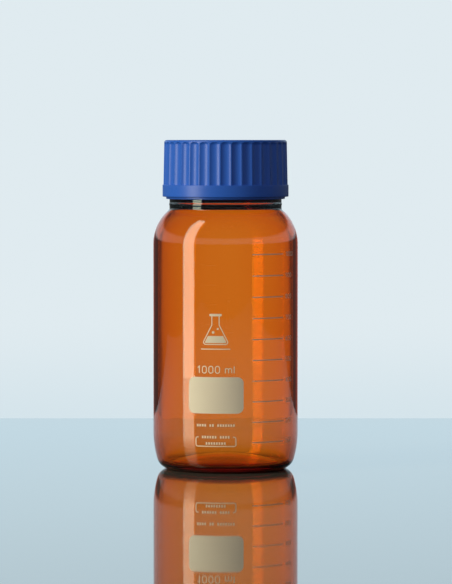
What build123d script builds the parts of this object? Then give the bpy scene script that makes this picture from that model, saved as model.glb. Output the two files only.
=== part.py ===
from build123d import *
import os
from math import asin, cos, degrees, hypot, pi, sin, sqrt

# Wide-mouth laboratory reagent bottle with a quick-opening screw cap.
# Millimetres, +Z up. The origin is the centre of the foot, on the surface that the bottle stands on,
# and the printed side faces -Y.

# Bottle, outside
BODY_RADIUS = 50.5
RIM_HEIGHT = 222.0
FOOT_WIDTH = 2.4
FOOT_INNER_BLEND = 1.5
HEEL_RADIUS = 9.0
FLANK_RADIUS = 70.0
FLANK_TOP = 26.0
PUSH_UP = 6.5
SHOULDER_RADIUS = 32.0
NECK_LENGTH = 41.2
NECK_BLEND = 2.0

# Bottle, inside
WALL = 3.3
FLOOR_HEIGHT = 4.2
FLOOR_CROWN = 6.0
FLOOR_BLEND = 4.5
NECK_WALL = 4.4
BORE_BLEND = 19.0

# Neck finish
THREAD_RADIUS = 39.4
THREAD_DEPTH = 1.8
THREAD_STARTS = 3
THREAD_PITCH = 5.0
THREAD_TURN = 0.92
THREAD_BASE = 2.4
THREAD_CREST = 1.2
THREAD_DROP = 27.0
COLLAR_STEP = 0.25
COLLAR_DROP = 32.6
BEAD_WIDTH = 2.6
SNAP_DROP = 7.5
SNAP_STEP = 1.3
SNAP_GROOVE = 0.6
SNAP_BEAD = 3.4
RIM_ROUND = 0.8

# Pouring ring
RING_TOP = 1.8
RING_SKIRT = 6.0
RING_GAP = 0.15
RING_HOOK = 2.1
RING_ROUND = 0.5

# Cap and seal
CAP_HEIGHT = 41.0
CAP_WALL = 4.0
CAP_TOP = 2.5
CAP_GAP = 0.5
CAP_CHAMBER = 1.4
LIP_HEIGHT = 1.6
LIP_INSET = 2.5
BAND_HEIGHT = 8.3
BAND_EDGE = 0.5
GRIP_INSET = 0.55
GRIP_DRAFT = 0.6
CAP_ROUND = 1.8
FLUTES = 36
FLUTE_DEPTH = 1.1
FLUTE_LAND = 0.7
FLUTE_END = 1.3
FLUTE_ROUND = 2.0
SEAL_THICKNESS = 2.4
FACING_THICKNESS = 0.3
SEAL_GAP = 0.4
SEAL_LEDGE = 0.35
LEDGE_HEIGHT = 0.9

# Enamel prints. Places along the wall are arc lengths from the front, to the right.
ENAMEL = 0.08
STROKE = 0.65
PRINT_AXIS = -6.9
FIELD_WIDTH = 38.8
FIELD_HEIGHT = 25.0
FIELD_ROUND = 4.2
FIELD_MIDDLE = 54.5
VOLUME_TEXT = 5.4
VOLUME_TEXT_FOOT = 69.4
EMBLEM_SIZE = 20.4
EMBLEM_MIDDLE = 99.3
RULE_HEIGHT = 86.2
SMALL_PRINT = 1.8
SMALL_PRINT_HEIGHT = 33.9
BOX_WIDTH = 28.6
BOX_HEIGHT = 7.0
BOX_ROUND = 1.6
BOX_MIDDLE = 22.7
SCALE_STEP = 100
SCALE_DROP = 0.0029
SCALE_EMPTY = 7.8
SCALE_START = 18.95
SCALE_LENGTH = 26.5
NUMERAL_START = 48.6
NUMERAL_TEXT = 3.3
NUMERAL_STROKE = 0.42
LETTER_GAP = 0.36

# Values that follow
LEAD = THREAD_STARTS * THREAD_PITCH
THREAD_ROOT = THREAD_RADIUS - THREAD_DEPTH
COLLAR_RADIUS = THREAD_RADIUS - COLLAR_STEP
BORE_RADIUS = THREAD_ROOT - NECK_WALL
BEAD_RADIUS = THREAD_ROOT - SNAP_STEP
GROOVE_RADIUS = BEAD_RADIUS - SNAP_GROOVE
RING_RADIUS = THREAD_ROOT - RING_GAP
SEAT_HEIGHT = RIM_HEIGHT + RING_TOP
CEILING_HEIGHT = SEAT_HEIGHT + FACING_THICKNESS + SEAL_THICKNESS
CAP_UPPER = CEILING_HEIGHT + CAP_TOP
CAP_LOWER = CAP_UPPER - CAP_HEIGHT
CAP_BORE = THREAD_RADIUS + CAP_GAP
CAP_CREST = THREAD_ROOT + CAP_GAP
CAP_RADIUS = CAP_BORE + CAP_WALL
CHAMBER_RADIUS = CAP_BORE - CAP_CHAMBER
SEAL_RADIUS = CHAMBER_RADIUS - SEAL_GAP
LEDGE_RADIUS = SEAL_RADIUS - SEAL_LEDGE
BAND_LOWER = CAP_LOWER + LIP_HEIGHT
BAND_UPPER = BAND_LOWER + BAND_HEIGHT
GRIP_RADIUS = CAP_RADIUS - GRIP_INSET
INNER_RADIUS = BODY_RADIUS - WALL

FLANK_CENTRE = (BODY_RADIUS - FLANK_RADIUS, FLANK_TOP)
COLLAR_FOOT = RIM_HEIGHT - NECK_LENGTH
SHOULDER_REACH = COLLAR_RADIUS - (BODY_RADIUS - SHOULDER_RADIUS)
SHOULDER_CENTRE = (
    BODY_RADIUS - SHOULDER_RADIUS,
    COLLAR_FOOT - sqrt(SHOULDER_RADIUS**2 - SHOULDER_REACH**2),
)


def level_with(centre, distance, height):
    """The point at this height that lies this far from centre, outwards."""
    return (centre[0] + sqrt(distance**2 - (height - centre[1]) ** 2), height)


def above(centre, distance, radius):
    """The point at this radius that lies this far from centre, upwards."""
    return (radius, centre[1] + sqrt(distance**2 - (radius - centre[0]) ** 2))


def towards(start, end, distance):
    """The point at this distance from start, on the line to end."""
    share = distance / hypot(end[0] - start[0], end[1] - start[1])
    return (start[0] + share * (end[0] - start[0]), start[1] + share * (end[1] - start[1]))


def bend(centre, start, end):
    """The shorter arc about centre between two points at the same distance from it."""
    radius = hypot(start[0] - centre[0], start[1] - centre[1])
    between = ((start[0] + end[0]) / 2, (start[1] + end[1]) / 2)
    return ThreePointArc(start, towards(centre, between, radius), end)


def dome(edge, edge_radius, apex):
    """Centre of the dome round the axis that meets a small arc smoothly, and the meeting point."""
    drop = edge[1] - apex
    radius = (edge[0] ** 2 + drop**2 - edge_radius**2) / (2 * (edge_radius - drop))
    centre = (0, apex - radius)
    return centre, towards(centre, edge, radius)


def turned(outline):
    """A solid of revolution about Z from a closed outline of radius and height."""
    return revolve(Plane.XZ * make_face(outline), axis=Axis.Z)


def chain(*points):
    """Straight edges from point to point."""
    return [Line(a, b) for a, b in zip(points, points[1:])]


def outer_flank():
    """Foot, heel and flank: edges from the axis to the straight wall."""
    heel = level_with(FLANK_CENTRE, FLANK_RADIUS - HEEL_RADIUS, HEEL_RADIUS)
    foot_edge = (heel[0] - FOOT_WIDTH, FOOT_INNER_BLEND)
    dome_centre, dome_edge = dome(foot_edge, FOOT_INNER_BLEND, PUSH_UP)
    heel_end = towards(FLANK_CENTRE, heel, FLANK_RADIUS)
    return [
        bend(dome_centre, (0, PUSH_UP), dome_edge),
        bend(foot_edge, dome_edge, (foot_edge[0], 0)),
        Line((foot_edge[0], 0), (heel[0], 0)),
        bend(heel, (heel[0], 0), heel_end),
        bend(FLANK_CENTRE, heel_end, (BODY_RADIUS, FLANK_TOP)),
    ]


def outer_shoulder():
    """Straight wall, shoulder and the blend into the neck collar."""
    blend = above(SHOULDER_CENTRE, SHOULDER_RADIUS + NECK_BLEND, COLLAR_RADIUS + NECK_BLEND)
    shoulder_end = towards(SHOULDER_CENTRE, blend, SHOULDER_RADIUS)
    wall_top = (BODY_RADIUS, SHOULDER_CENTRE[1])
    collar_start = (COLLAR_RADIUS, blend[1])
    return [
        Line((BODY_RADIUS, FLANK_TOP), wall_top),
        bend(SHOULDER_CENTRE, wall_top, shoulder_end),
        bend(blend, shoulder_end, collar_start),
    ], collar_start


def neck_finish(collar_start):
    """Collar with its bead, thread land, snap bead for the pouring ring, and rim, down to the bore."""
    bead = collar_start[1] + BEAD_WIDTH
    bead_foot = (COLLAR_RADIUS, bead - BEAD_WIDTH / 2)
    bead_top = (COLLAR_RADIUS, bead + BEAD_WIDTH / 2)
    collar_top = RIM_HEIGHT - COLLAR_DROP
    land_top = RIM_HEIGHT - SNAP_DROP
    groove = (land_top + SNAP_GROOVE, RIM_HEIGHT - SNAP_BEAD - SNAP_GROOVE)
    return [
        Line(collar_start, bead_foot),
        ThreePointArc(bead_foot, (THREAD_RADIUS, bead), bead_top),
        *chain(
            bead_top,
            (COLLAR_RADIUS, collar_top),
            (THREAD_ROOT, collar_top + THREAD_DEPTH),
            (THREAD_ROOT, land_top),
            (GROOVE_RADIUS, groove[0]),
            (GROOVE_RADIUS, groove[1]),
            (BEAD_RADIUS, groove[1] + SNAP_GROOVE),
            (BEAD_RADIUS, RIM_HEIGHT - RIM_ROUND),
        ),
        bend(
            (BEAD_RADIUS - RIM_ROUND, RIM_HEIGHT - RIM_ROUND),
            (BEAD_RADIUS, RIM_HEIGHT - RIM_ROUND),
            (BEAD_RADIUS - RIM_ROUND, RIM_HEIGHT),
        ),
        Line((BEAD_RADIUS - RIM_ROUND, RIM_HEIGHT), (BORE_RADIUS + RIM_ROUND, RIM_HEIGHT)),
        bend(
            (BORE_RADIUS + RIM_ROUND, RIM_HEIGHT - RIM_ROUND),
            (BORE_RADIUS + RIM_ROUND, RIM_HEIGHT),
            (BORE_RADIUS, RIM_HEIGHT - RIM_ROUND),
        ),
    ]


def inner_wall():
    """Bore, inner shoulder, wall, inner heel and crowned floor, back to the axis."""
    blend = above(SHOULDER_CENTRE, SHOULDER_RADIUS - WALL + BORE_BLEND, BORE_RADIUS + BORE_BLEND)
    shoulder_start = towards(SHOULDER_CENTRE, blend, SHOULDER_RADIUS - WALL)
    wall_top = (INNER_RADIUS, SHOULDER_CENTRE[1])
    heel = level_with(FLANK_CENTRE, FLANK_RADIUS - WALL - FLOOR_BLEND, FLOOR_HEIGHT + FLOOR_BLEND)
    heel_start = towards(FLANK_CENTRE, heel, FLANK_RADIUS - WALL)
    apex = FLOOR_HEIGHT + FLOOR_CROWN
    crown_centre, crown_edge = dome(heel, FLOOR_BLEND, apex)
    return [
        Line((BORE_RADIUS, RIM_HEIGHT - RIM_ROUND), (BORE_RADIUS, blend[1])),
        bend(blend, (BORE_RADIUS, blend[1]), shoulder_start),
        bend(SHOULDER_CENTRE, shoulder_start, wall_top),
        Line(wall_top, (INNER_RADIUS, FLANK_TOP)),
        bend(FLANK_CENTRE, (INNER_RADIUS, FLANK_TOP), heel_start),
        bend(heel, heel_start, crown_edge),
        bend(crown_centre, crown_edge, (0, apex)),
        Line((0, apex), (0, PUSH_UP)),
    ]


def thread_ridges(root, crest, height):
    """The ridges of a multi-start thread, rooted in a wall at root and reaching to crest."""
    inward = 1 if crest > root else -1
    rooted = root - inward * THREAD_DEPTH / 4
    section = make_face(
        chain(
            (rooted, -THREAD_BASE / 2),
            (root, -THREAD_BASE / 2),
            (crest, -THREAD_CREST / 2),
            (crest, THREAD_CREST / 2),
            (root, THREAD_BASE / 2),
            (rooted, THREAD_BASE / 2),
            (rooted, -THREAD_BASE / 2),
        )
    )
    path = Helix(pitch=LEAD, height=LEAD * THREAD_TURN, radius=root)
    ridge = Pos(0, 0, height) * sweep(Plane.XZ * section, path=path, is_frenet=True)
    return [Rot(0, 0, start * 360 / THREAD_STARTS) * ridge for start in range(THREAD_STARTS)]


def glass_bottle():
    """The bottle in one piece, with its neck thread."""
    shoulder, collar_start = outer_shoulder()
    body = turned([*outer_flank(), *shoulder, *neck_finish(collar_start), *inner_wall()])
    return body + thread_ridges(THREAD_ROOT, THREAD_RADIUS, RIM_HEIGHT - THREAD_DROP)


def pouring_ring():
    """Flange over the rim, with a drip edge, and a skirt that hooks under the snap bead."""
    skirt_end = RIM_HEIGHT - RING_SKIRT
    hook_top = skirt_end + RING_HOOK
    inside = BEAD_RADIUS + RING_GAP
    hook = GROOVE_RADIUS + RING_GAP
    lip = (BORE_RADIUS + RING_ROUND, SEAT_HEIGHT)
    return turned(
        [
            *chain(
                (RING_RADIUS, SEAT_HEIGHT),
                (RING_RADIUS, skirt_end),
                (hook + RING_GAP, skirt_end),
                (hook, skirt_end + RING_GAP),
                (hook, hook_top - SNAP_GROOVE),
                (inside, hook_top),
                (inside, RIM_HEIGHT),
                (BORE_RADIUS, RIM_HEIGHT),
                (BORE_RADIUS, SEAT_HEIGHT - RING_ROUND),
            ),
            bend((lip[0], lip[1] - RING_ROUND), (BORE_RADIUS, lip[1] - RING_ROUND), lip),
            Line(lip, (RING_RADIUS, SEAT_HEIGHT)),
        ]
    )


def cap_blank():
    """The cap before its flutes and thread: lip, plain band, tapered grip, top and the room inside."""
    grip_top = (GRIP_RADIUS - GRIP_DRAFT, CAP_UPPER - CAP_ROUND)
    round_centre = (grip_top[0] - CAP_ROUND, grip_top[1])
    lip_radius = CAP_RADIUS - LIP_INSET
    ledge = (SEAT_HEIGHT - SEAL_LEDGE, SEAT_HEIGHT - SEAL_LEDGE - LEDGE_HEIGHT)
    return turned(
        [
            *chain(
                (CAP_BORE + BAND_EDGE, CAP_LOWER),
                (lip_radius - BAND_EDGE, CAP_LOWER),
                (lip_radius, BAND_LOWER),
                (CAP_RADIUS - BAND_EDGE, BAND_LOWER),
                (CAP_RADIUS, BAND_LOWER + BAND_EDGE),
                (CAP_RADIUS, BAND_UPPER - BAND_EDGE / 2),
                (CAP_RADIUS - BAND_EDGE / 2, BAND_UPPER),
                (GRIP_RADIUS, BAND_UPPER),
                grip_top,
            ),
            bend(round_centre, grip_top, (round_centre[0], CAP_UPPER)),
            *chain(
                (round_centre[0], CAP_UPPER),
                (0, CAP_UPPER),
                (0, CEILING_HEIGHT),
                (CHAMBER_RADIUS, CEILING_HEIGHT),
                (CHAMBER_RADIUS, ledge[0]),
                (LEDGE_RADIUS, ledge[0]),
                (LEDGE_RADIUS, ledge[1]),
                (CAP_BORE, ledge[1] - CAP_BORE + LEDGE_RADIUS),
                (CAP_BORE, CAP_LOWER + BAND_EDGE),
                (CAP_BORE + BAND_EDGE, CAP_LOWER),
            ),
        ]
    )


def flute_cutters():
    """Round-ended cutters that leave narrow lands between concave flutes, one flute facing -Y."""
    pitch = 2 * pi * GRIP_RADIUS / FLUTES
    half = (pitch - FLUTE_LAND) / 2
    radius = (half**2 + FLUTE_DEPTH**2) / (2 * FLUTE_DEPTH)
    lean = degrees(asin(GRIP_DRAFT / (CAP_UPPER - CAP_ROUND - BAND_UPPER)))
    length = CAP_UPPER - FLUTE_END - BAND_UPPER
    blank = Cylinder(radius, length, align=(Align.CENTER, Align.CENTER, Align.MIN))
    cutter = fillet(blank.edges().sort_by(Axis.Z)[-1], FLUTE_ROUND)
    leaned = Rot(0, -lean, 0) * cutter
    level = Pos(0, 0, BAND_UPPER) * Box(
        2 * CAP_RADIUS, 2 * CAP_RADIUS, CAP_HEIGHT, align=(Align.CENTER, Align.CENTER, Align.MIN)
    )
    away = GRIP_RADIUS + radius - FLUTE_DEPTH
    placed = (Pos(away, 0, BAND_UPPER) * leaned) & (Pos(away, 0, 0) * level)
    return [Rot(0, 0, -90 + turn * 360 / FLUTES) * placed for turn in range(FLUTES)]


def screw_cap():
    """The cap with its flutes, and its thread just under the ridges of the neck."""
    drop = (THREAD_BASE + THREAD_CREST) / 2 + CAP_GAP
    ridges = thread_ridges(CAP_BORE, CAP_CREST, RIM_HEIGHT - THREAD_DROP - drop)
    return cap_blank() - flute_cutters() + ridges


def disc(radius, lower, thickness):
    """A flat disc on the axis."""
    return Pos(0, 0, lower) * Cylinder(radius, thickness, align=(Align.CENTER, Align.CENTER, Align.MIN))


def enamel_layer():
    """The skin of enamel over the flank and the straight wall that every print is cut from."""
    lower = level_with(FLANK_CENTRE, FLANK_RADIUS, BOX_MIDDLE - BOX_HEIGHT)
    upper = SHOULDER_CENTRE[1]
    lower_skin = towards(FLANK_CENTRE, lower, FLANK_RADIUS + ENAMEL)
    skin = BODY_RADIUS + ENAMEL
    return turned(
        [
            bend(FLANK_CENTRE, lower, (BODY_RADIUS, FLANK_TOP)),
            *chain((BODY_RADIUS, FLANK_TOP), (BODY_RADIUS, upper), (skin, upper), (skin, FLANK_TOP)),
            bend(FLANK_CENTRE, (skin, FLANK_TOP), lower_skin),
            Line(lower_skin, lower),
        ]
    )


def fired_on(layer, artwork, along, height):
    """Flat artwork laid on the wall at an arc length from the front and a height, as enamel."""
    bearing = along / BODY_RADIUS
    across = (cos(bearing), sin(bearing), 0)
    outwards = (sin(bearing), -cos(bearing), 0)
    plane = Plane(origin=(0, 0, height), x_dir=across, z_dir=outwards)
    solids = []
    for face in artwork.faces():
        block = extrude(plane * face, amount=2 * BODY_RADIUS, dir=outwards)
        solids += (block & layer).solids()
    return solids


def seen_square(length):
    """Width, seen square on, of a print this long along the wall and centred on the view."""
    return 2 * BODY_RADIUS * sin(length / 2 / BODY_RADIUS)


def label_field(layer):
    """Writing field with rounded corners."""
    field = RectangleRounded(seen_square(FIELD_WIDTH), FIELD_HEIGHT, FIELD_ROUND)
    return fired_on(layer, field, PRINT_AXIS, FIELD_MIDDLE)


def glyphs():
    """Width and pen lines of each sign, one unit high."""
    turn = CenterArc((0.3, 0.7), 0.3, 170, -206)
    ring = 359.9
    return {
        "0": (
            0.6,
            CenterArc((0.3, 0.7), 0.3, 0, 180),
            Line((0, 0.7), (0, 0.3)),
            CenterArc((0.3, 0.3), 0.3, 180, 180),
            Line((0.6, 0.3), (0.6, 0.7)),
        ),
        "1": (0.4, Polyline((0.05, 0.78), (0.3, 1), (0.3, 0))),
        "2": (0.6, turn, Line(turn @ 1, (0, 0)), Line((0, 0), (0.6, 0))),
        "3": (0.54, CenterArc((0.28, 0.76), 0.24, 160, -250), CenterArc((0.28, 0.26), 0.26, 90, -250)),
        "4": (0.62, Line((0.46, 0), (0.46, 1)), Line((0.46, 1), (0, 0.3)), Line((0, 0.3), (0.62, 0.3))),
        "5": (0.6, Polyline((0.54, 1), (0.08, 1), (0.05, 0.52)), CenterArc((0.28, 0.31), 0.31, 138, -280)),
        "6": (0.6, CenterArc((0.3, 0.3), 0.3, 0, ring), CenterArc((0.6, 0.36), 0.6, 178, -70)),
        "7": (0.6, Polyline((0, 1), (0.6, 1), (0.22, 0))),
        "8": (0.54, CenterArc((0.27, 0.76), 0.24, 0, ring), CenterArc((0.27, 0.26), 0.26, 0, ring)),
        "9": (0.6, CenterArc((0.3, 0.7), 0.3, 0, ring), CenterArc((0, 0.64), 0.6, -2, -70)),
        "m": (
            0.92,
            Line((0, 0), (0, 0.68)),
            Line((0.46, 0), (0.46, 0.45)),
            CenterArc((0.23, 0.45), 0.23, 0, 180),
            Line((0.92, 0), (0.92, 0.45)),
            CenterArc((0.69, 0.45), 0.23, 0, 180),
        ),
        "l": (0.0, Line((0, 0), (0, 1))),
        " ": (0.12,),
    }


def written(text, height, stroke):
    """Signs drawn with a pen of this stroke, each as its own sketch, and the width of the whole."""
    signs = glyphs()
    place = 0
    drawn = []
    for sign in text:
        width, *pen_lines = signs[sign]
        parts = [trace(scale(pen_line, height - stroke), line_width=stroke) for pen_line in pen_lines]
        if parts:
            drawn.append(Pos(place, stroke / 2) * sum(parts[1:], parts[0]))
        place += (width + LETTER_GAP) * (height - stroke)
    return drawn, place - LETTER_GAP * (height - stroke)


def fired_text(layer, text, height, stroke, start, foot):
    """A line of signs on the wall, from an arc length from the front and up from a height."""
    solids = []
    for sign in written(text, height, stroke)[0]:
        box = sign.bounding_box()
        middle = (box.min.X + box.max.X) / 2
        solids += fired_on(layer, Pos(-middle, 0) * sign, start + middle, foot)
    return solids


def capacity_mark(layer, volume):
    """The nominal volume, centred over the writing field."""
    text = f"{volume} ml"
    width = written(text, VOLUME_TEXT, STROKE)[1]
    return fired_text(layer, text, VOLUME_TEXT, STROKE, PRINT_AXIS - width / 2, VOLUME_TEXT_FOOT)


def outlined(shape, stroke):
    """The outline of a shape, drawn inside its edge."""
    return shape - offset(shape, amount=-stroke)


def emblem_print(layer):
    """A plain conical flask with a level line and bubbles, over a rule."""
    unit = EMBLEM_SIZE / 20
    corners = ((-2.8, 10), (2.8, 10), (2.8, 3.4), (9.6, -10), (-9.6, -10), (-2.8, 3.4))
    flask = Polygon(*[(x * unit, y * unit) for x, y in corners], align=None)
    base = flask.vertices().sort_by(Axis.Y)[:2]
    flask = fillet(base, 1.8 * unit)
    liquid = Pos(0, -7 * unit) * Rectangle(2 * EMBLEM_SIZE, 6 * unit) & offset(flask, amount=-2 * STROKE)
    rim = Pos(0, 10 * unit) * RectangleRounded(8.4 * unit, 1.6 * unit, 0.7 * unit)
    bubbles = [Pos(x * unit, y * unit) * Circle(r * unit) for x, y, r in ((-1.6, -1.6, 0.9), (1.5, 0.7, 0.7))]
    art = outlined(flask, STROKE) + rim + liquid + bubbles
    rule = Rectangle(seen_square(EMBLEM_SIZE), STROKE)
    return fired_on(layer, art, PRINT_AXIS, EMBLEM_MIDDLE) + fired_on(layer, rule, PRINT_AXIS, RULE_HEIGHT)


def word_blocks(layer, words, height):
    """A centred row of small blocks that stands for a line of small print, with this many in each word."""
    pitch = SMALL_PRINT
    places = sum(words) + len(words) - 1
    block = RectangleRounded(0.62 * pitch, SMALL_PRINT, pitch / 5)
    solids = []
    place = 0
    for letters in words:
        for letter in range(letters):
            along = PRINT_AXIS + (place + letter - (places - 1) / 2) * pitch
            solids += fired_on(layer, block, along, height)
        place += letters + 1
    return solids


def batch_box(layer):
    """Rounded box for a batch number. Its top line breaks for the heading's blocks."""
    box = outlined(RectangleRounded(seen_square(BOX_WIDTH), BOX_HEIGHT, BOX_ROUND), STROKE)
    top = BOX_HEIGHT / 2 - STROKE / 2
    box -= Pos(0, top) * Rectangle(0.84 * seen_square(BOX_WIDTH), 2 * STROKE)
    heading = word_blocks(layer, (6, 4), BOX_MIDDLE + top)
    number = word_blocks(layer, (8,), BOX_MIDDLE - BOX_HEIGHT / 6)
    return fired_on(layer, box, PRINT_AXIS, BOX_MIDDLE) + heading + number


def scale_heights():
    """Heights of the volume lines that fit under the shoulder, a little closer together lower down."""
    spacing = SCALE_STEP * 1000 / (pi * INNER_RADIUS**2)
    count = int((SHOULDER_CENTRE[1] - STROKE - SCALE_EMPTY) / spacing)
    numbers = range(1, count + 1)
    return [SCALE_EMPTY + spacing * number * (1 - SCALE_DROP * (count - number)) for number in numbers]


def graduation_marks(layer, heights):
    """One line of the scale at each height."""
    line = Rectangle(seen_square(SCALE_LENGTH), STROKE)
    solids = []
    for height in heights:
        solids += fired_on(layer, line, SCALE_START + SCALE_LENGTH / 2, height)
    return solids


def scale_numerals(layer, heights):
    """The volume beside each line, starting at one edge."""
    solids = []
    for count, height in enumerate(heights):
        number = str((count + 1) * SCALE_STEP)
        foot = height - NUMERAL_TEXT / 2
        solids += fired_text(layer, number, NUMERAL_TEXT, NUMERAL_STROKE, NUMERAL_START, foot)
    return solids


def write(name, shape):
    """One file for each sub-part."""
    if isinstance(shape, list):
        shape = Compound(children=list(shape))
    export_step(shape, f"parts/{name}.step")


os.makedirs("parts", exist_ok=True)
write("glass_bottle", glass_bottle())
write("pouring_ring", pouring_ring())
write("screw_cap", screw_cap())
write("silicone_seal", disc(SEAL_RADIUS, SEAT_HEIGHT + FACING_THICKNESS, SEAL_THICKNESS))
write("ptfe_facing", disc(SEAL_RADIUS, SEAT_HEIGHT, FACING_THICKNESS))

enamel = enamel_layer()
lines = scale_heights()
write("label_field", label_field(enamel))
write("capacity_mark", capacity_mark(enamel, len(lines) * SCALE_STEP))
write("emblem_print", emblem_print(enamel))
write("small_print", word_blocks(enamel, (4, 2, 7), SMALL_PRINT_HEIGHT))
write("batch_box", batch_box(enamel))
write("graduation_marks", graduation_marks(enamel, lines))
write("scale_numerals", scale_numerals(enamel, lines))
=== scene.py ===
import math

import bmesh
import bpy
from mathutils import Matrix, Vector


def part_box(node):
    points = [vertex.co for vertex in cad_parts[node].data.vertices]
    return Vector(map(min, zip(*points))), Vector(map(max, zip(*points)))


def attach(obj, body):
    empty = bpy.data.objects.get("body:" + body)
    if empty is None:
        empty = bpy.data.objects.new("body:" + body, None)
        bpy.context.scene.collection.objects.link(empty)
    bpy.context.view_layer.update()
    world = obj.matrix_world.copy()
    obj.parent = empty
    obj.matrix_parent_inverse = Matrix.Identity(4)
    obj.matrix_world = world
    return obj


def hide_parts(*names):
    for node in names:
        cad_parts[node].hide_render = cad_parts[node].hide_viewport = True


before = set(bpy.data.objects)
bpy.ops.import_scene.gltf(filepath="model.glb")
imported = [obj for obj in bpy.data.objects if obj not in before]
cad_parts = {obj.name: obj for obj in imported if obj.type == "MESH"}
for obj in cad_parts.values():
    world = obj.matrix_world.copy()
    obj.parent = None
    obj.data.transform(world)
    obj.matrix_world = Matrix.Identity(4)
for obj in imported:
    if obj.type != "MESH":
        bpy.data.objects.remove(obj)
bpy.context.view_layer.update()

# Sizes that the frame gives, in metres
GLASS_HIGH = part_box("glass_bottle")[1]
CAP_LOW, CAP_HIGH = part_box("screw_cap")
RING_LOW, RING_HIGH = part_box("pouring_ring")
SEAL_LOW, SEAL_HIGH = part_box("silicone_seal")
FACING_LOW, FACING_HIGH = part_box("ptfe_facing")
BODY_RADIUS = GLASS_HIGH.x
RIM = GLASS_HIGH.z
CAP_TOP = CAP_HIGH.z
CAP_FOOT = CAP_LOW.z
SEAT = RING_HIGH.z
CEILING = SEAL_HIGH.z

# Bottle
WALL = 0.0033
HEEL_ROUND = 0.009
FLANK_ROUND = 0.070
FLANK_TOP = 0.026
FOOT_WIDTH = 0.0024
FOOT_ROUND = 0.0015
PUSH_UP = 0.0065
FLOOR = 0.0042
FLOOR_CROWN = 0.006
FLOOR_ROUND = 0.0045
SHOULDER_ROUND = 0.032
NECK_LENGTH = 0.0412
NECK_ROUND = 0.002
BORE_ROUND = 0.019
NECK_WALL = 0.0044

# Neck finish and thread
THREAD_RADIUS = 0.0394
THREAD_DEPTH = 0.0018
THREAD_ROOT = THREAD_RADIUS - THREAD_DEPTH
THREAD_STARTS = 3
THREAD_PITCH = 0.005
THREAD_TURN = 0.92
THREAD_BASE = 0.0024
THREAD_CREST = 0.0012
THREAD_FOOT = RIM - 0.027
COLLAR_RADIUS = THREAD_RADIUS - 0.00025
COLLAR_TOP = RIM - 0.0326
BEAD_WIDTH = 0.0026
LAND_TOP = RIM - 0.0075
SNAP_RADIUS = THREAD_ROOT - 0.0013
SNAP_GROOVE = 0.0006
SNAP_FOOT = RIM - 0.0034
RIM_ROUND = 0.0008
BORE = THREAD_ROOT - NECK_WALL

# Cap
CAP_RADIUS = 0.0439
CAP_GAP = 0.0005
CAP_BORE = THREAD_RADIUS + CAP_GAP
CHAMBER = CAP_BORE - 0.0014
LEDGE_RADIUS = CHAMBER - 0.00075
LEDGE_TOP = SEAT - 0.00035
LEDGE_FOOT = LEDGE_TOP - 0.0009
LIP_RADIUS = CAP_RADIUS - 0.0025
BAND_FOOT = CAP_FOOT + 0.0016
BAND_TOP = BAND_FOOT + 0.0083
BAND_EDGE = 0.0005
GRIP_RADIUS = CAP_RADIUS - 0.00055
GRIP_TOP_RADIUS = GRIP_RADIUS - 0.0006
CAP_ROUND = 0.0018
FLUTES = 36
FLUTE_DEPTH = 0.0011
FLUTE_LAND = 0.0007
FLUTE_END = CAP_TOP - 0.0013
FLUTE_ROUND = 0.002

# Mesh fineness
GLASS_SIDES = 240
FLUTE_STEPS = 14
ARC_STEP = 0.0012
ARC_TURN = 0.2
BEAD_STEPS = 8


# Outlines of radius and height

def shifted(centre, distance, towards):
    """The point at this distance from centre, on the line towards another point."""
    line = Vector(towards) - Vector(centre)
    return Vector(centre) + line.normalized() * distance


def swing(centre, start, end):
    """Points of the shorter arc about centre from start to end, the start left out."""
    centre, start, end = Vector(centre), Vector(start), Vector(end)
    first = math.atan2(start.y - centre.y, start.x - centre.x)
    last = math.atan2(end.y - centre.y, end.x - centre.x)
    turn = (last - first + math.pi) % (2 * math.pi) - math.pi
    radius = (start - centre).length
    steps = max(3, math.ceil(abs(turn) * radius / ARC_STEP), math.ceil(abs(turn) / ARC_TURN))
    angles = [first + turn * i / steps for i in range(1, steps + 1)]
    return [centre + radius * Vector((math.cos(angle), math.sin(angle))) for angle in angles]


def run(start, end, step):
    """Points of a straight line from start to end at about this step, the start left out."""
    start, end = Vector(start), Vector(end)
    steps = max(1, math.ceil((end - start).length / step))
    return [start.lerp(end, i / steps) for i in range(1, steps + 1)]


def dome(edge, edge_radius, apex):
    """Centre of the dome round the axis that meets a small arc smoothly, and the meeting point."""
    drop = edge[1] - apex
    radius = (edge[0] ** 2 + drop**2 - edge_radius**2) / (2 * (edge_radius - drop))
    centre = (0, apex - radius)
    return centre, shifted(centre, radius, edge)


def beside(centre, distance, height):
    """The point at this height that lies this far from centre, outwards."""
    return (centre[0] + math.sqrt(distance**2 - (height - centre[1]) ** 2), height)


def over(centre, distance, radius):
    """The point at this radius that lies this far from centre, upwards."""
    return (radius, centre[1] + math.sqrt(distance**2 - (radius - centre[0]) ** 2))


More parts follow.
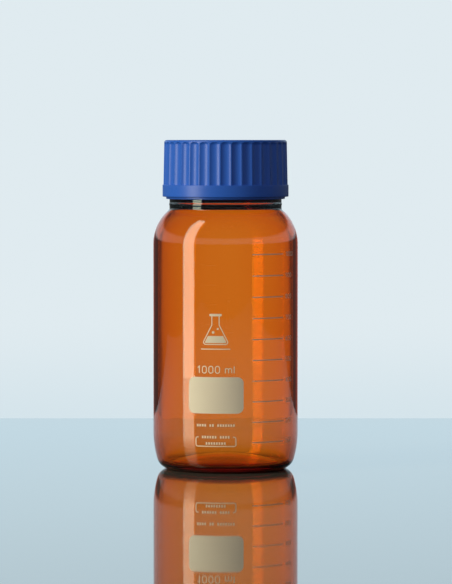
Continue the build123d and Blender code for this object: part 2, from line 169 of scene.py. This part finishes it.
def bottle_outline():
    """Outside of the bottle from the middle of the push-up to the rim, then inside down to the floor."""
    flank = (BODY_RADIUS - FLANK_ROUND, FLANK_TOP)
    heel = beside(flank, FLANK_ROUND - HEEL_ROUND, HEEL_ROUND)
    foot = (heel[0] - FOOT_WIDTH, FOOT_ROUND)
    under, under_edge = dome(foot, FOOT_ROUND, PUSH_UP)
    heel_end = shifted(flank, FLANK_ROUND, heel)
    reach = COLLAR_RADIUS - (BODY_RADIUS - SHOULDER_ROUND)
    drop = NECK_LENGTH + math.sqrt(SHOULDER_ROUND**2 - reach**2)
    shoulder = (BODY_RADIUS - SHOULDER_ROUND, RIM - drop)
    neck = over(shoulder, SHOULDER_ROUND + NECK_ROUND, COLLAR_RADIUS + NECK_ROUND)
    shoulder_end = shifted(shoulder, SHOULDER_ROUND, neck)
    bead = neck[1] + BEAD_WIDTH

    points = [Vector((0, PUSH_UP))]
    points += swing(under, points[-1], under_edge)
    points += swing(foot, points[-1], (foot[0], 0))
    points += run(points[-1], (heel[0], 0), ARC_STEP)
    points += swing(heel, points[-1], heel_end)
    points += swing(flank, points[-1], (BODY_RADIUS, FLANK_TOP))
    points += run(points[-1], (BODY_RADIUS, shoulder[1]), 0.006)
    points += swing(shoulder, points[-1], shoulder_end)
    points += swing(neck, points[-1], (COLLAR_RADIUS, neck[1]))
    points += run(points[-1], (COLLAR_RADIUS, bead - BEAD_WIDTH / 2), ARC_STEP)
    for i in range(1, BEAD_STEPS + 1):
        share = i / BEAD_STEPS
        swell = (THREAD_RADIUS - COLLAR_RADIUS) * math.sin(math.pi * share)
        points.append(Vector((COLLAR_RADIUS + swell, bead + BEAD_WIDTH * (share - 0.5))))
    points += run(points[-1], (COLLAR_RADIUS, COLLAR_TOP), ARC_STEP)
    points += run(points[-1], (THREAD_ROOT, COLLAR_TOP + THREAD_DEPTH), 0.0006)
    points += run(points[-1], (THREAD_ROOT, LAND_TOP), 0.0003)
    points += run(points[-1], (SNAP_RADIUS - SNAP_GROOVE, LAND_TOP + SNAP_GROOVE), ARC_STEP)
    points += run(points[-1], (SNAP_RADIUS - SNAP_GROOVE, SNAP_FOOT - SNAP_GROOVE), ARC_STEP)
    points += run(points[-1], (SNAP_RADIUS, SNAP_FOOT), ARC_STEP)
    points += run(points[-1], (SNAP_RADIUS, RIM - RIM_ROUND), ARC_STEP)
    rim = (SNAP_RADIUS - RIM_ROUND, RIM - RIM_ROUND)
    points += swing(rim, points[-1], (rim[0], RIM))
    points += run(points[-1], (BORE + RIM_ROUND, RIM), ARC_STEP)
    points += swing((BORE + RIM_ROUND, RIM - RIM_ROUND), points[-1], (BORE, RIM - RIM_ROUND))

    bore = over(shoulder, SHOULDER_ROUND - WALL + BORE_ROUND, BORE + BORE_ROUND)
    inner_heel = beside(flank, FLANK_ROUND - WALL - FLOOR_ROUND, FLOOR + FLOOR_ROUND)
    apex = FLOOR + FLOOR_CROWN
    crown, crown_edge = dome(inner_heel, FLOOR_ROUND, apex)
    points += run(points[-1], (BORE, bore[1]), 0.004)
    points += swing(bore, points[-1], shifted(shoulder, SHOULDER_ROUND - WALL, bore))
    points += swing(shoulder, points[-1], (BODY_RADIUS - WALL, shoulder[1]))
    points += run(points[-1], (BODY_RADIUS - WALL, FLANK_TOP), 0.004)
    points += swing(flank, points[-1], shifted(flank, FLANK_ROUND - WALL, inner_heel))
    points += swing(inner_heel, points[-1], crown_edge)
    points += swing(crown, points[-1], (0, apex))
    return points


def cap_outline():
    """Outside of the cap from its foot over the top to the axis, then inside back to the foot."""
    grip_round = (GRIP_TOP_RADIUS - CAP_ROUND, CAP_TOP - CAP_ROUND)
    points = [Vector((CAP_BORE + BAND_EDGE, CAP_FOOT))]
    points += run(points[-1], (LIP_RADIUS - BAND_EDGE, CAP_FOOT), ARC_STEP)
    lip = (LIP_RADIUS - BAND_EDGE, CAP_FOOT + BAND_EDGE)
    points += swing(lip, points[-1], (LIP_RADIUS, lip[1]))
    points += run(points[-1], (LIP_RADIUS, BAND_FOOT), ARC_STEP)
    points += run(points[-1], (CAP_RADIUS - BAND_EDGE, BAND_FOOT), ARC_STEP)
    band = (CAP_RADIUS - BAND_EDGE, BAND_FOOT + BAND_EDGE)
    points += swing(band, points[-1], (CAP_RADIUS, band[1]))
    points += run(points[-1], (CAP_RADIUS, BAND_TOP - BAND_EDGE / 2), 0.002)
    band = (CAP_RADIUS - BAND_EDGE / 2, BAND_TOP - BAND_EDGE / 2)
    points += swing(band, points[-1], (band[0], BAND_TOP))
    points += [Vector((GRIP_RADIUS, BAND_TOP))]
    points += run(points[-1], (GRIP_TOP_RADIUS, CAP_TOP - CAP_ROUND), 0.0022)[:-2]
    points += run(points[-1], (GRIP_TOP_RADIUS, CAP_TOP - CAP_ROUND), 0.00025)
    points += swing(grip_round, points[-1], (grip_round[0], CAP_TOP))
    points += run(points[-1], (0, CAP_TOP), 0.006)
    points += [Vector((0, CEILING))]
    points += run(points[-1], (CHAMBER, CEILING), 0.008)
    points += run(points[-1], (CHAMBER, LEDGE_TOP), 0.002)
    points += run(points[-1], (LEDGE_RADIUS, LEDGE_TOP), 0.002)
    points += run(points[-1], (LEDGE_RADIUS, LEDGE_FOOT), 0.002)
    points += run(points[-1], (CAP_BORE, LEDGE_FOOT - CAP_BORE + LEDGE_RADIUS), 0.001)
    points += run(points[-1], (CAP_BORE, CAP_FOOT + BAND_EDGE), 0.0004)
    return points


def ring_outline():
    """Pouring ring: flange over the rim, drip edge, and a skirt that hooks under the snap bead."""
    gap = 0.00015
    outer = THREAD_ROOT - gap
    inside = SNAP_RADIUS + gap
    hook = SNAP_RADIUS - SNAP_GROOVE + gap
    foot = RING_LOW.z
    soft = 0.0005
    points = [Vector((outer - 0.0004, SEAT))]
    points += swing((outer - 0.0004, SEAT - 0.0004), points[-1], (outer, SEAT - 0.0004))
    points += run(points[-1], (outer, foot + gap), ARC_STEP)
    points += run(points[-1], (outer - gap, foot), ARC_STEP)
    points += run(points[-1], (hook + gap, foot), ARC_STEP)
    points += run(points[-1], (hook, foot + gap), ARC_STEP)
    points += run(points[-1], (hook, foot + 0.0015), ARC_STEP)
    points += run(points[-1], (inside, foot + 0.0021), ARC_STEP)
    points += run(points[-1], (inside, RIM), ARC_STEP)
    points += run(points[-1], (BORE, RIM), ARC_STEP)
    points += run(points[-1], (BORE, SEAT - soft), ARC_STEP)
    points += swing((BORE + soft, SEAT - soft), points[-1], (BORE + soft, SEAT))
    return points


def disc_outline(radius, low, high, soft):
    """A flat disc with softened rims."""
    points = [Vector((0, low))]
    points += run(points[-1], (radius - soft, low), 0.004)
    points += swing((radius - soft, low + soft), points[-1], (radius, low + soft))
    points += run(points[-1], (radius, high - soft), 0.001)
    points += swing((radius - soft, high - soft), points[-1], (radius - soft, high))
    points += run(points[-1], (0, high), 0.004)
    return points


# Meshes

def lathe(name, outline, bearings, closed):
    """Turns an outline round the axis. A closed outline joins its last point to its first."""
    mesh = bpy.data.meshes.new(name)
    work = bmesh.new()
    rings = []
    for bearing in bearings:
        rings.append(
            [work.verts.new((p.x * math.cos(bearing), p.x * math.sin(bearing), p.y)) for p in outline]
        )
    count = len(outline)
    steps = count if closed else count - 1
    for here, there in zip(rings, rings[1:] + rings[:1]):
        for i in range(steps):
            j = (i + 1) % count
            work.faces.new((here[i], there[i], there[j], here[j]))
    bmesh.ops.remove_doubles(work, verts=work.verts, dist=1e-6)
    bmesh.ops.recalc_face_normals(work, faces=work.faces)
    work.to_mesh(mesh)
    work.free()
    mesh.shade_smooth()
    piece = bpy.data.objects.new(name, mesh)
    bpy.context.scene.collection.objects.link(piece)
    return piece


def even_bearings(sides):
    """Equal steps round the axis."""
    return [2 * math.pi * i / sides for i in range(sides)]


def flute_bearings():
    """Steps round the cap with one at each edge of each land."""
    pitch = 2 * math.pi / FLUTES
    half = (pitch - FLUTE_LAND / GRIP_RADIUS) / 2
    across = [half * (2 * i / FLUTE_STEPS - 1) for i in range(FLUTE_STEPS + 1)]
    return [pitch * flute + step for flute in range(FLUTES) for step in across]


# Node trees

class Bench:
    """Lays nodes in a tree and links them, so that a rule reads as a sum."""

    def __init__(self, tree):
        self.tree = tree

    def node(self, kind, **values):
        made = self.tree.nodes.new(kind)
        for key, value in values.items():
            setattr(made, key, value)
        return made

    def plug(self, source, socket):
        if hasattr(source, "is_output"):
            self.tree.links.new(source, socket)
        else:
            socket.default_value = source

    def sum(self, operation, *inputs):
        made = self.node("ShaderNodeMath", operation=operation)
        for source, socket in zip(inputs, made.inputs):
            self.plug(source, socket)
        return made.outputs[0]

    def blend(self, share, low, high, smooth=True):
        """share from low to high, as 0 to 1."""
        made = self.node("ShaderNodeMapRange", interpolation_type="SMOOTHSTEP" if smooth else "LINEAR")
        self.plug(share, made.inputs["Value"])
        self.plug(low, made.inputs["From Min"])
        self.plug(high, made.inputs["From Max"])
        return made.outputs["Result"]


def wall_tree(name, sizes):
    """A Geometry Nodes tree that moves points in or out from the axis. Gives its bench and inputs."""
    tree = bpy.data.node_groups.new(name, "GeometryNodeTree")
    tree.interface.new_socket("Geometry", in_out="INPUT", socket_type="NodeSocketGeometry")
    for label, value in sizes.items():
        socket = tree.interface.new_socket(label, in_out="INPUT", socket_type="NodeSocketFloat")
        socket.default_value = value
    tree.interface.new_socket("Material", in_out="INPUT", socket_type="NodeSocketMaterial")
    tree.interface.new_socket("Geometry", in_out="OUTPUT", socket_type="NodeSocketGeometry")
    bench = Bench(tree)
    given = bench.node("NodeGroupInput").outputs
    place = bench.node("ShaderNodeSeparateXYZ")
    bench.plug(bench.node("GeometryNodeInputPosition").outputs[0], place.inputs[0])
    squares = [bench.sum("POWER", place.outputs[i], 2.0) for i in (0, 1)]
    radius = bench.sum("SQRT", bench.sum("ADD", *squares))
    bearing = bench.sum("ARCTAN2", place.outputs[1], place.outputs[0])
    return bench, given, place.outputs, radius, bearing


def finish_wall_tree(bench, given, place, radius, outwards):
    """Ends the tree: each point moves outwards by this much."""
    safe = bench.sum("MAXIMUM", radius, 1e-6)
    share = bench.sum("DIVIDE", bench.sum("ADD", safe, outwards), safe)
    joined = bench.node("ShaderNodeCombineXYZ")
    bench.plug(bench.sum("MULTIPLY", place[0], share), joined.inputs[0])
    bench.plug(bench.sum("MULTIPLY", place[1], share), joined.inputs[1])
    bench.plug(place[2], joined.inputs[2])
    move = bench.node("GeometryNodeSetPosition")
    bench.plug(given["Geometry"], move.inputs["Geometry"])
    bench.plug(joined.outputs[0], move.inputs["Position"])
    whole = bench.node("GeometryNodeRealizeInstances")
    bench.plug(move.outputs[0], whole.inputs[0])
    coat = bench.node("GeometryNodeSetMaterial")
    bench.plug(whole.outputs[0], coat.inputs["Geometry"])
    bench.plug(given["Material"], coat.inputs["Material"])
    bench.plug(coat.outputs[0], bench.node("NodeGroupOutput").inputs[0])
    return bench.tree


def thread_tree():
    """Multi-start thread ridges on a wall of one radius, run out at both ends."""
    bench, given, place, radius, bearing = wall_tree(
        "thread",
        {
            "Wall Radius": THREAD_ROOT,
            "Height of Ridge": THREAD_DEPTH,
            "Starts": THREAD_STARTS,
            "Pitch": THREAD_PITCH,
            "Turn": THREAD_TURN,
            "Foot": THREAD_FOOT,
            "Base Width": THREAD_BASE,
            "Crest Width": THREAD_CREST,
            "Run Out": 0.0012,
        },
    )
    turns = bench.sum("DIVIDE", bench.sum("MULTIPLY", bearing, given["Starts"]), 2 * math.pi)
    risen = bench.sum("DIVIDE", bench.sum("SUBTRACT", place[2], given["Foot"]), given["Pitch"])
    level = bench.sum("SUBTRACT", risen, turns)
    off = bench.sum("MULTIPLY", bench.sum("SUBTRACT", level, bench.sum("ROUND", level)), given["Pitch"])
    flank = bench.blend(
        bench.sum("ABSOLUTE", off),
        bench.sum("DIVIDE", given["Base Width"], 2.0),
        bench.sum("DIVIDE", given["Crest Width"], 2.0),
    )
    rise = bench.sum("SUBTRACT", bench.sum("SUBTRACT", place[2], off), given["Foot"])
    top = bench.sum("MULTIPLY", bench.sum("MULTIPLY", given["Starts"], given["Pitch"]), given["Turn"])
    start = bench.blend(rise, 0.0, given["Run Out"])
    end = bench.blend(bench.sum("SUBTRACT", top, rise), 0.0, given["Run Out"])
    off_wall = bench.sum("ABSOLUTE", bench.sum("SUBTRACT", radius, given["Wall Radius"]))
    on_wall = bench.sum("LESS_THAN", off_wall, 2e-5)
    ridge = bench.sum("MULTIPLY", bench.sum("MULTIPLY", flank, start), bench.sum("MULTIPLY", end, on_wall))
    outwards = bench.sum("MULTIPLY", ridge, given["Height of Ridge"])
    return finish_wall_tree(bench, given, place, radius, outwards)


def flute_tree():
    """Concave flutes with rounded tops round a grip, one of them facing -Y."""
    bench, given, place, radius, bearing = wall_tree(
        "flutes",
        {
            "Flutes": FLUTES,
            "Grip Radius": GRIP_RADIUS,
            "Depth": FLUTE_DEPTH,
            "Land": FLUTE_LAND,
            "Lower End": BAND_TOP,
            "Upper End": FLUTE_END,
            "End Round": FLUTE_ROUND,
            "Inner Limit": CAP_BORE + 0.001,
        },
    )
    share = bench.sum("DIVIDE", bench.sum("MULTIPLY", bearing, given["Flutes"]), 2 * math.pi)
    off = bench.sum("SUBTRACT", share, bench.sum("ROUND", share))
    pitch = bench.sum("DIVIDE", bench.sum("MULTIPLY", given["Grip Radius"], 2 * math.pi), given["Flutes"])
    across = bench.sum("MULTIPLY", off, pitch)
    half = bench.sum("DIVIDE", bench.sum("SUBTRACT", pitch, given["Land"]), 2.0)
    squares = bench.sum("ADD", bench.sum("POWER", half, 2.0), bench.sum("POWER", given["Depth"], 2.0))
    round_radius = bench.sum("DIVIDE", squares, bench.sum("MULTIPLY", given["Depth"], 2.0))
    below = bench.sum("SUBTRACT", given["End Round"], bench.sum("SUBTRACT", given["Upper End"], place[2]))
    below = bench.sum("MINIMUM", bench.sum("MAXIMUM", below, 0.0), given["End Round"])
    whole = bench.sum("POWER", given["End Round"], 2.0)
    squares = bench.sum("SUBTRACT", whole, bench.sum("POWER", below, 2.0))
    shrink = bench.sum("SUBTRACT", given["End Round"], bench.sum("SQRT", squares))
    cutter = bench.sum("SUBTRACT", round_radius, shrink)
    squares = bench.sum("SUBTRACT", bench.sum("POWER", cutter, 2.0), bench.sum("POWER", across, 2.0))
    reach = bench.sum("SQRT", bench.sum("MAXIMUM", squares, 0.0))
    depth = bench.sum("SUBTRACT", reach, bench.sum("SUBTRACT", round_radius, given["Depth"]))
    depth = bench.sum("MAXIMUM", depth, 0.0)
    outer = bench.sum("GREATER_THAN", radius, given["Inner Limit"])
    above = bench.sum("GREATER_THAN", place[2], bench.sum("SUBTRACT", given["Lower End"], 1e-5))
    grip = bench.sum("LESS_THAN", radius, bench.sum("ADD", given["Grip Radius"], 1e-5))
    under = bench.sum("LESS_THAN", place[2], given["Upper End"])
    where = bench.sum("MULTIPLY", bench.sum("MULTIPLY", outer, above), bench.sum("MULTIPLY", grip, under))
    outwards = bench.sum("MULTIPLY", bench.sum("MULTIPLY", depth, where), -1.0)
    return finish_wall_tree(bench, given, place, radius, outwards)


def blown_tree():
    """Slow, shallow waves in the inner wall, as blowing leaves them, longer upwards than round."""
    bench, given, place, radius, _ = wall_tree(
        "blown_wall",
        {
            "Inner Radius": BODY_RADIUS - WALL,
            "Wave": 0.00012,
            "Across": 55.0,
            "Along": 9.0,
            "Lower End": FLANK_TOP,
        },
    )
    stretched = bench.node("ShaderNodeCombineXYZ")
    bench.plug(bench.sum("MULTIPLY", place[0], given["Across"]), stretched.inputs[0])
    bench.plug(bench.sum("MULTIPLY", place[1], given["Across"]), stretched.inputs[1])
    bench.plug(bench.sum("MULTIPLY", place[2], given["Along"]), stretched.inputs[2])
    noise = bench.node("ShaderNodeTexNoise")
    bench.plug(stretched.outputs[0], noise.inputs["Vector"])
    noise.inputs["Scale"].default_value = 1.0
    noise.inputs["Detail"].default_value = 1.5
    off_wall = bench.sum("ABSOLUTE", bench.sum("SUBTRACT", radius, given["Inner Radius"]))
    inner = bench.sum("LESS_THAN", off_wall, 5e-4)
    high = bench.blend(place[2], given["Lower End"], bench.sum("ADD", given["Lower End"], 0.02))
    height = bench.sum("MULTIPLY", given["Wave"], 2.0)
    wave = bench.sum("MULTIPLY", bench.sum("SUBTRACT", noise.outputs[0], 0.5), height)
    outwards = bench.sum("MULTIPLY", wave, bench.sum("MULTIPLY", inner, high))
    return finish_wall_tree(bench, given, place, radius, outwards)


def applied(piece, tree, finish, **sizes):
    """The piece after this Geometry Nodes tree, as a plain mesh, with no modifier left."""
    modifier = piece.modifiers.new(tree.name, "NODES")
    modifier.node_group = tree
    for item in tree.interface.items_tree:
        label = item.name.replace(" ", "_").lower()
        if item.in_out == "INPUT" and label in sizes:
            modifier[item.identifier] = float(sizes[label])
        elif item.in_out == "INPUT" and label == "material":
            modifier[item.identifier] = finish
    seen = piece.evaluated_get(bpy.context.evaluated_depsgraph_get())
    mesh = bpy.data.meshes.new_from_object(seen)
    piece.modifiers.remove(modifier)
    old = piece.data
    piece.data = mesh
    bpy.data.meshes.remove(old)
    mesh.name = piece.name
    return piece


def edged(piece, angle):
    """Smooth shading with creases kept where faces meet at more than this angle."""
    piece.data.shade_smooth()
    piece.data.set_sharp_from_angle(angle=math.radians(angle))
    return piece


# Materials

def material(name):
    """A new node material, its bench and its Principled shader."""
    made = bpy.data.materials.new(name)
    made.use_nodes = True
    bench = Bench(made.node_tree)
    shader = next(n for n in made.node_tree.nodes if n.type == "BSDF_PRINCIPLED")
    return made, bench, shader


def group(name, inputs, outputs):
    """A shader group with its sockets. Gives its bench, its inputs and where its results go."""
    tree = bpy.data.node_groups.new(name, "ShaderNodeTree")
    for label, value in inputs.items():
        kind = "NodeSocketColor" if isinstance(value, tuple) else "NodeSocketFloat"
        socket = tree.interface.new_socket(label, in_out="INPUT", socket_type=kind)
        socket.default_value = value
    for label, kind in outputs.items():
        tree.interface.new_socket(label, in_out="OUTPUT", socket_type=kind)
    bench = Bench(tree)
    return bench, bench.node("NodeGroupInput").outputs, bench.node("NodeGroupOutput").inputs


def moulded_skin():
    """Fine moulded grain, soft mottling and rubbed patches of a moulded or fired surface."""
    bench, given, result = group(
        "moulded_skin",
        {
            "Colour": (0.5, 0.5, 0.5, 1.0),
            "Mottle": 0.06,
            "Grain Scale": 1800.0,
            "Grain Height": 0.15,
            "Roughness": 0.4,
            "Rubbed": 0.06,
        },
        {"Colour": "NodeSocketColor", "Roughness": "NodeSocketFloat", "Normal": "NodeSocketVector"},
    )
    place = bench.node("ShaderNodeTexCoord").outputs["Object"]
    grain = bench.node("ShaderNodeTexNoise")
    bench.plug(place, grain.inputs["Vector"])
    bench.plug(given["Grain Scale"], grain.inputs["Scale"])
    grain.inputs["Detail"].default_value = 3.0
    cloud = bench.node("ShaderNodeTexNoise")
    bench.plug(place, cloud.inputs["Vector"])
    cloud.inputs["Scale"].default_value = 65.0
    cloud.inputs["Detail"].default_value = 4.0
    mottle = bench.sum("MULTIPLY", bench.sum("SUBTRACT", cloud.outputs[0], 0.5), given["Mottle"])
    shade = bench.sum("ADD", 1.0, mottle)
    tint = bench.node("ShaderNodeVectorMath", operation="SCALE")
    bench.plug(given["Colour"], tint.inputs[0])
    bench.plug(shade, tint.inputs["Scale"])
    bench.plug(tint.outputs[0], result["Colour"])
    rub = bench.sum("MULTIPLY", bench.sum("SUBTRACT", cloud.outputs[0], 0.5), given["Rubbed"])
    speck = bench.sum("MULTIPLY", bench.sum("SUBTRACT", grain.outputs[0], 0.5), given["Rubbed"])
    bench.plug(bench.sum("ADD", bench.sum("ADD", given["Roughness"], rub), speck), result["Roughness"])
    bump = bench.node("ShaderNodeBump")
    bump.inputs["Distance"].default_value = 0.00005
    bench.plug(given["Grain Height"], bump.inputs["Strength"])
    bench.plug(grain.outputs[0], bump.inputs["Height"])
    bench.plug(bump.outputs[0], result["Normal"])
    return bench.tree


def skinned(name, tree, colour, **values):
    """A material whose colour, roughness and grain come from the moulded skin."""
    made, bench, shader = material(name)
    skin = bench.node("ShaderNodeGroup", node_tree=tree)
    skin.inputs["Colour"].default_value = (*colour, 1.0)
    for label, value in values.items():
        skin.inputs[label.replace("_", " ").title()].default_value = value
    bench.plug(skin.outputs["Colour"], shader.inputs["Base Color"])
    bench.plug(skin.outputs["Roughness"], shader.inputs["Roughness"])
    bench.plug(skin.outputs["Normal"], shader.inputs["Normal"])
    return made, shader


def amber_glass():
    """Clear amber glass: the colour is taken up along the way through the wall."""
    made, bench, shader = material("amber_glass")
    shader.inputs["Base Color"].default_value = (1.0, 1.0, 1.0, 1.0)
    shader.inputs["Transmission Weight"].default_value = 1.0
    shader.inputs["IOR"].default_value = 1.473
    place = bench.node("ShaderNodeTexCoord").outputs["Object"]
    film = bench.node("ShaderNodeTexNoise")
    bench.plug(place, film.inputs["Vector"])
    film.inputs["Scale"].default_value = 40.0
    film.inputs["Detail"].default_value = 5.0
    wiped = bench.blend(film.outputs[0], 0.55, 0.8)
    bench.plug(bench.sum("MULTIPLY", wiped, 0.02), shader.inputs["Roughness"])
    absorb = bench.node("ShaderNodeVolumeAbsorption")
    absorb.inputs["Color"].default_value = (0.957, 0.638, 0.0, 1.0)
    absorb.inputs["Density"].default_value = 730.0
    output = next(n for n in made.node_tree.nodes if n.type == "OUTPUT_MATERIAL")
    bench.plug(absorb.outputs[0], output.inputs["Volume"])
    return made


# Pieces

def make_bottle(thread, finish):
    piece = lathe("bottle", bottle_outline(), even_bearings(GLASS_SIDES), closed=False)
    applied(piece, thread, finish)
    applied(piece, blown_tree(), finish)
    edged(piece, 50)
    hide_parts("glass_bottle")
    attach(piece, "bottle")


def make_cap(thread, flutes, finish):
    piece = lathe("cap", cap_outline(), flute_bearings(), closed=True)
    applied(piece, flutes, finish)
    drop = (THREAD_BASE + THREAD_CREST) / 2 + CAP_GAP
    foot = THREAD_FOOT - drop
    applied(piece, thread, finish, wall_radius=CAP_BORE, height_of_ridge=-THREAD_DEPTH, foot=foot)
    edged(piece, 32)
    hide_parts("screw_cap")
    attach(piece, "cap")


def make_turned(name, outline, closed, node, body, finish):
    piece = lathe(name, outline, even_bearings(180), closed)
    edged(piece, 40)
    piece.data.materials.append(finish)
    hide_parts(node)
    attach(piece, body)


def dress_prints(finish):
    """The fired prints keep their shapes and get the enamel."""
    for node in (
        "label_field",
        "capacity_mark",
        "emblem_print",
        "small_print",
        "batch_box",
        "graduation_marks",
        "scale_numerals",
    ):
        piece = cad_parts[node]
        piece.data.materials.clear()
        piece.data.materials.append(finish)


# Studio

def look_at(thing, place, target):
    thing.location = place
    thing.rotation_euler = (Vector(target) - Vector(place)).to_track_quat("-Z", "Y").to_euler()


def strip_light(name, place, target, width, height, power, colour):
    lamp = bpy.data.lights.new(name, "AREA")
    lamp.shape = "RECTANGLE"
    lamp.size = width
    lamp.size_y = height
    lamp.energy = power
    lamp.color = colour
    made = bpy.data.objects.new(name, lamp)
    bpy.context.scene.collection.objects.link(made)
    look_at(made, place, target)
    made.visible_camera = False


def make_camera():
    lens = bpy.data.cameras.new("camera")
    lens.lens = 203.4
    lens.sensor_width = 36.0
    lens.clip_start = 0.05
    camera = bpy.data.objects.new("camera", lens)
    bpy.context.scene.collection.objects.link(camera)
    look_at(camera, (0.0003, -2.30, 0.229), (0.0003, 0.0, 0.123))
    bpy.context.scene.camera = camera


def make_floor():
    """A table top, pale from above and polished at a low angle, whose far edge is the horizon."""
    mesh = bpy.data.meshes.new("table")
    work = bmesh.new()
    corners = [(-1.6, -2.0), (1.6, -2.0), (1.6, 0.41), (-1.6, 0.41)]
    work.faces.new([work.verts.new((x, y, 0.0)) for x, y in corners])
    work.to_mesh(mesh)
    work.free()
    table = bpy.data.objects.new("table", mesh)
    bpy.context.scene.collection.objects.link(table)
    made, bench, polished = material("table")
    polished.inputs["Base Color"].default_value = (0.16, 0.12, 0.10, 1.0)
    polished.inputs["Roughness"].default_value = 0.02
    polished.inputs["IOR"].default_value = 1.5
    polished.inputs["Coat Weight"].default_value = 0.35
    pale = bench.node("ShaderNodeBsdfPrincipled")
    pale.inputs["Base Color"].default_value = (0.93, 0.92, 0.98, 1.0)
    pale.inputs["Roughness"].default_value = 0.25
    gloss = bench.blend(bench.node("ShaderNodeLayerWeight").outputs["Facing"], 0.76, 0.84)
    direct = bench.node("ShaderNodeLightPath").outputs["Is Camera Ray"]
    share = bench.sum("MAXIMUM", gloss, bench.sum("SUBTRACT", 1.0, direct))
    both = bench.node("ShaderNodeMixShader")
    bench.plug(share, both.inputs[0])
    bench.plug(pale.outputs[0], both.inputs[1])
    bench.plug(polished.outputs[0], both.inputs[2])
    output = next(n for n in made.node_tree.nodes if n.type == "OUTPUT_MATERIAL")
    bench.plug(both.outputs[0], output.inputs["Surface"])
    mesh.materials.append(made)


def make_world():
    """A lit backdrop of limited width behind the object. The rest of the room is dim to what it lights."""
    world = bpy.data.worlds.new("studio")
    bpy.context.scene.world = world
    world.use_nodes = True
    bench = Bench(world.node_tree)
    back = next(n for n in world.node_tree.nodes if n.type == "BACKGROUND")
    place = bench.node("ShaderNodeSeparateXYZ")
    bench.plug(bench.node("ShaderNodeTexCoord").outputs["Generated"], place.inputs[0])
    path = bench.node("ShaderNodeLightPath")
    behind = bench.sum("GREATER_THAN", place.outputs[1], 0.0)
    across = bench.sum("SUBTRACT", 1.0, bench.blend(bench.sum("ABSOLUTE", place.outputs[0]), 0.17, 0.30))
    above = bench.blend(place.outputs[2], -0.16, -0.10)
    below = bench.sum("SUBTRACT", 1.0, bench.blend(place.outputs[2], 0.45, 0.75))
    upright = bench.sum("MULTIPLY", above, below)
    panel = bench.sum("MULTIPLY", bench.sum("MULTIPLY", behind, across), upright)
    front = bench.sum("MULTIPLY", place.outputs[1], -1.0)
    facing = bench.sum("MULTIPLY", bench.blend(front, 0.3, 0.8), 0.3)
    left = bench.sum("MULTIPLY", place.outputs[0], -0.6)
    front_left = bench.sum("ADD", left, bench.sum("MULTIPLY", place.outputs[1], -0.8))
    fill = bench.sum("MULTIPLY", bench.blend(front_left, -0.2, 0.8), 0.32)
    room = bench.sum("ADD", 0.11, bench.sum("MULTIPLY", facing, path.outputs["Is Transmission Ray"]))
    room = bench.sum("ADD", room, bench.sum("MULTIPLY", fill, path.outputs["Is Diffuse Ray"]))
    low = bench.blend(place.outputs[2], 0.03, 0.08)
    fade = bench.sum("SUBTRACT", 1.0, bench.blend(place.outputs[2], 0.25, 0.35))
    low = bench.sum("MULTIPLY", low, fade)
    low = bench.sum("MULTIPLY", bench.sum("MULTIPLY", low, 0.8), path.outputs["Is Glossy Ray"])
    lit = bench.sum("MAXIMUM", bench.sum("MAXIMUM", panel, room), low)
    level = bench.sum("MAXIMUM", lit, path.outputs["Is Camera Ray"])
    tone = bench.node("ShaderNodeMix", data_type="RGBA")
    bench.plug(bench.blend(place.outputs[2], -0.088, -0.052), tone.inputs["Factor"])
    tone.inputs[6].default_value = (0.665, 0.776, 0.83, 1.0)
    tone.inputs[7].default_value = (0.745, 0.83, 0.87, 1.0)
    high = bench.node("ShaderNodeMix", data_type="RGBA")
    bench.plug(bench.blend(place.outputs[2], 0.05, 0.09), high.inputs["Factor"])
    bench.plug(tone.outputs[2], high.inputs[6])
    high.inputs[7].default_value = (0.76, 0.975, 1.09, 1.0)
    bench.plug(high.outputs[2], back.inputs["Color"])
    bench.plug(level, back.inputs["Strength"])


scene = bpy.context.scene
scene.view_settings.view_transform = "Standard"
make_camera()
make_floor()
make_world()
strip_light("left_softbox", (-0.82, -0.478, 0.80), (0, 0, 0.80), 0.33, 1.60, 12.0, (0.88, 1.0, 0.78))

thread = thread_tree()
skin = moulded_skin()
make_bottle(thread, amber_glass())
cap_plastic, cap_shader = skinned("cap_plastic", skin, (0.022, 0.112, 0.54), roughness=0.36)
cap_shader.inputs["Specular Tint"].default_value = (1.0, 0.82, 1.0, 1.0)
make_cap(thread, flute_tree(), cap_plastic)
ring_plastic = skinned("ring_plastic", skin, (0.012, 0.095, 0.38), roughness=0.33)[0]
make_turned("drip_ring", ring_outline(), True, "pouring_ring", "bottle", ring_plastic)
silicone = skinned("seal_silicone", skin, (0.72, 0.70, 0.66), roughness=0.45)[0]
seal_outline = disc_outline(SEAL_HIGH.x, SEAL_LOW.z, SEAL_HIGH.z, 0.0003)
make_turned("seal_disc", seal_outline, False, "silicone_seal", "seal", silicone)
ptfe = skinned("facing_ptfe", skin, (0.85, 0.85, 0.83), roughness=0.3, grain_height=0.05)[0]
facing_outline = disc_outline(FACING_HIGH.x, FACING_LOW.z, FACING_HIGH.z, 0.0001)
make_turned("facing_film", facing_outline, False, "ptfe_facing", "seal", ptfe)
enamel_values = {"roughness": 0.5, "mottle": 0.08, "grain_scale": 2600.0}
enamel = skinned("print_enamel", skin, (1.0, 0.73, 0.54), **enamel_values)[0]
dress_prints(enamel)
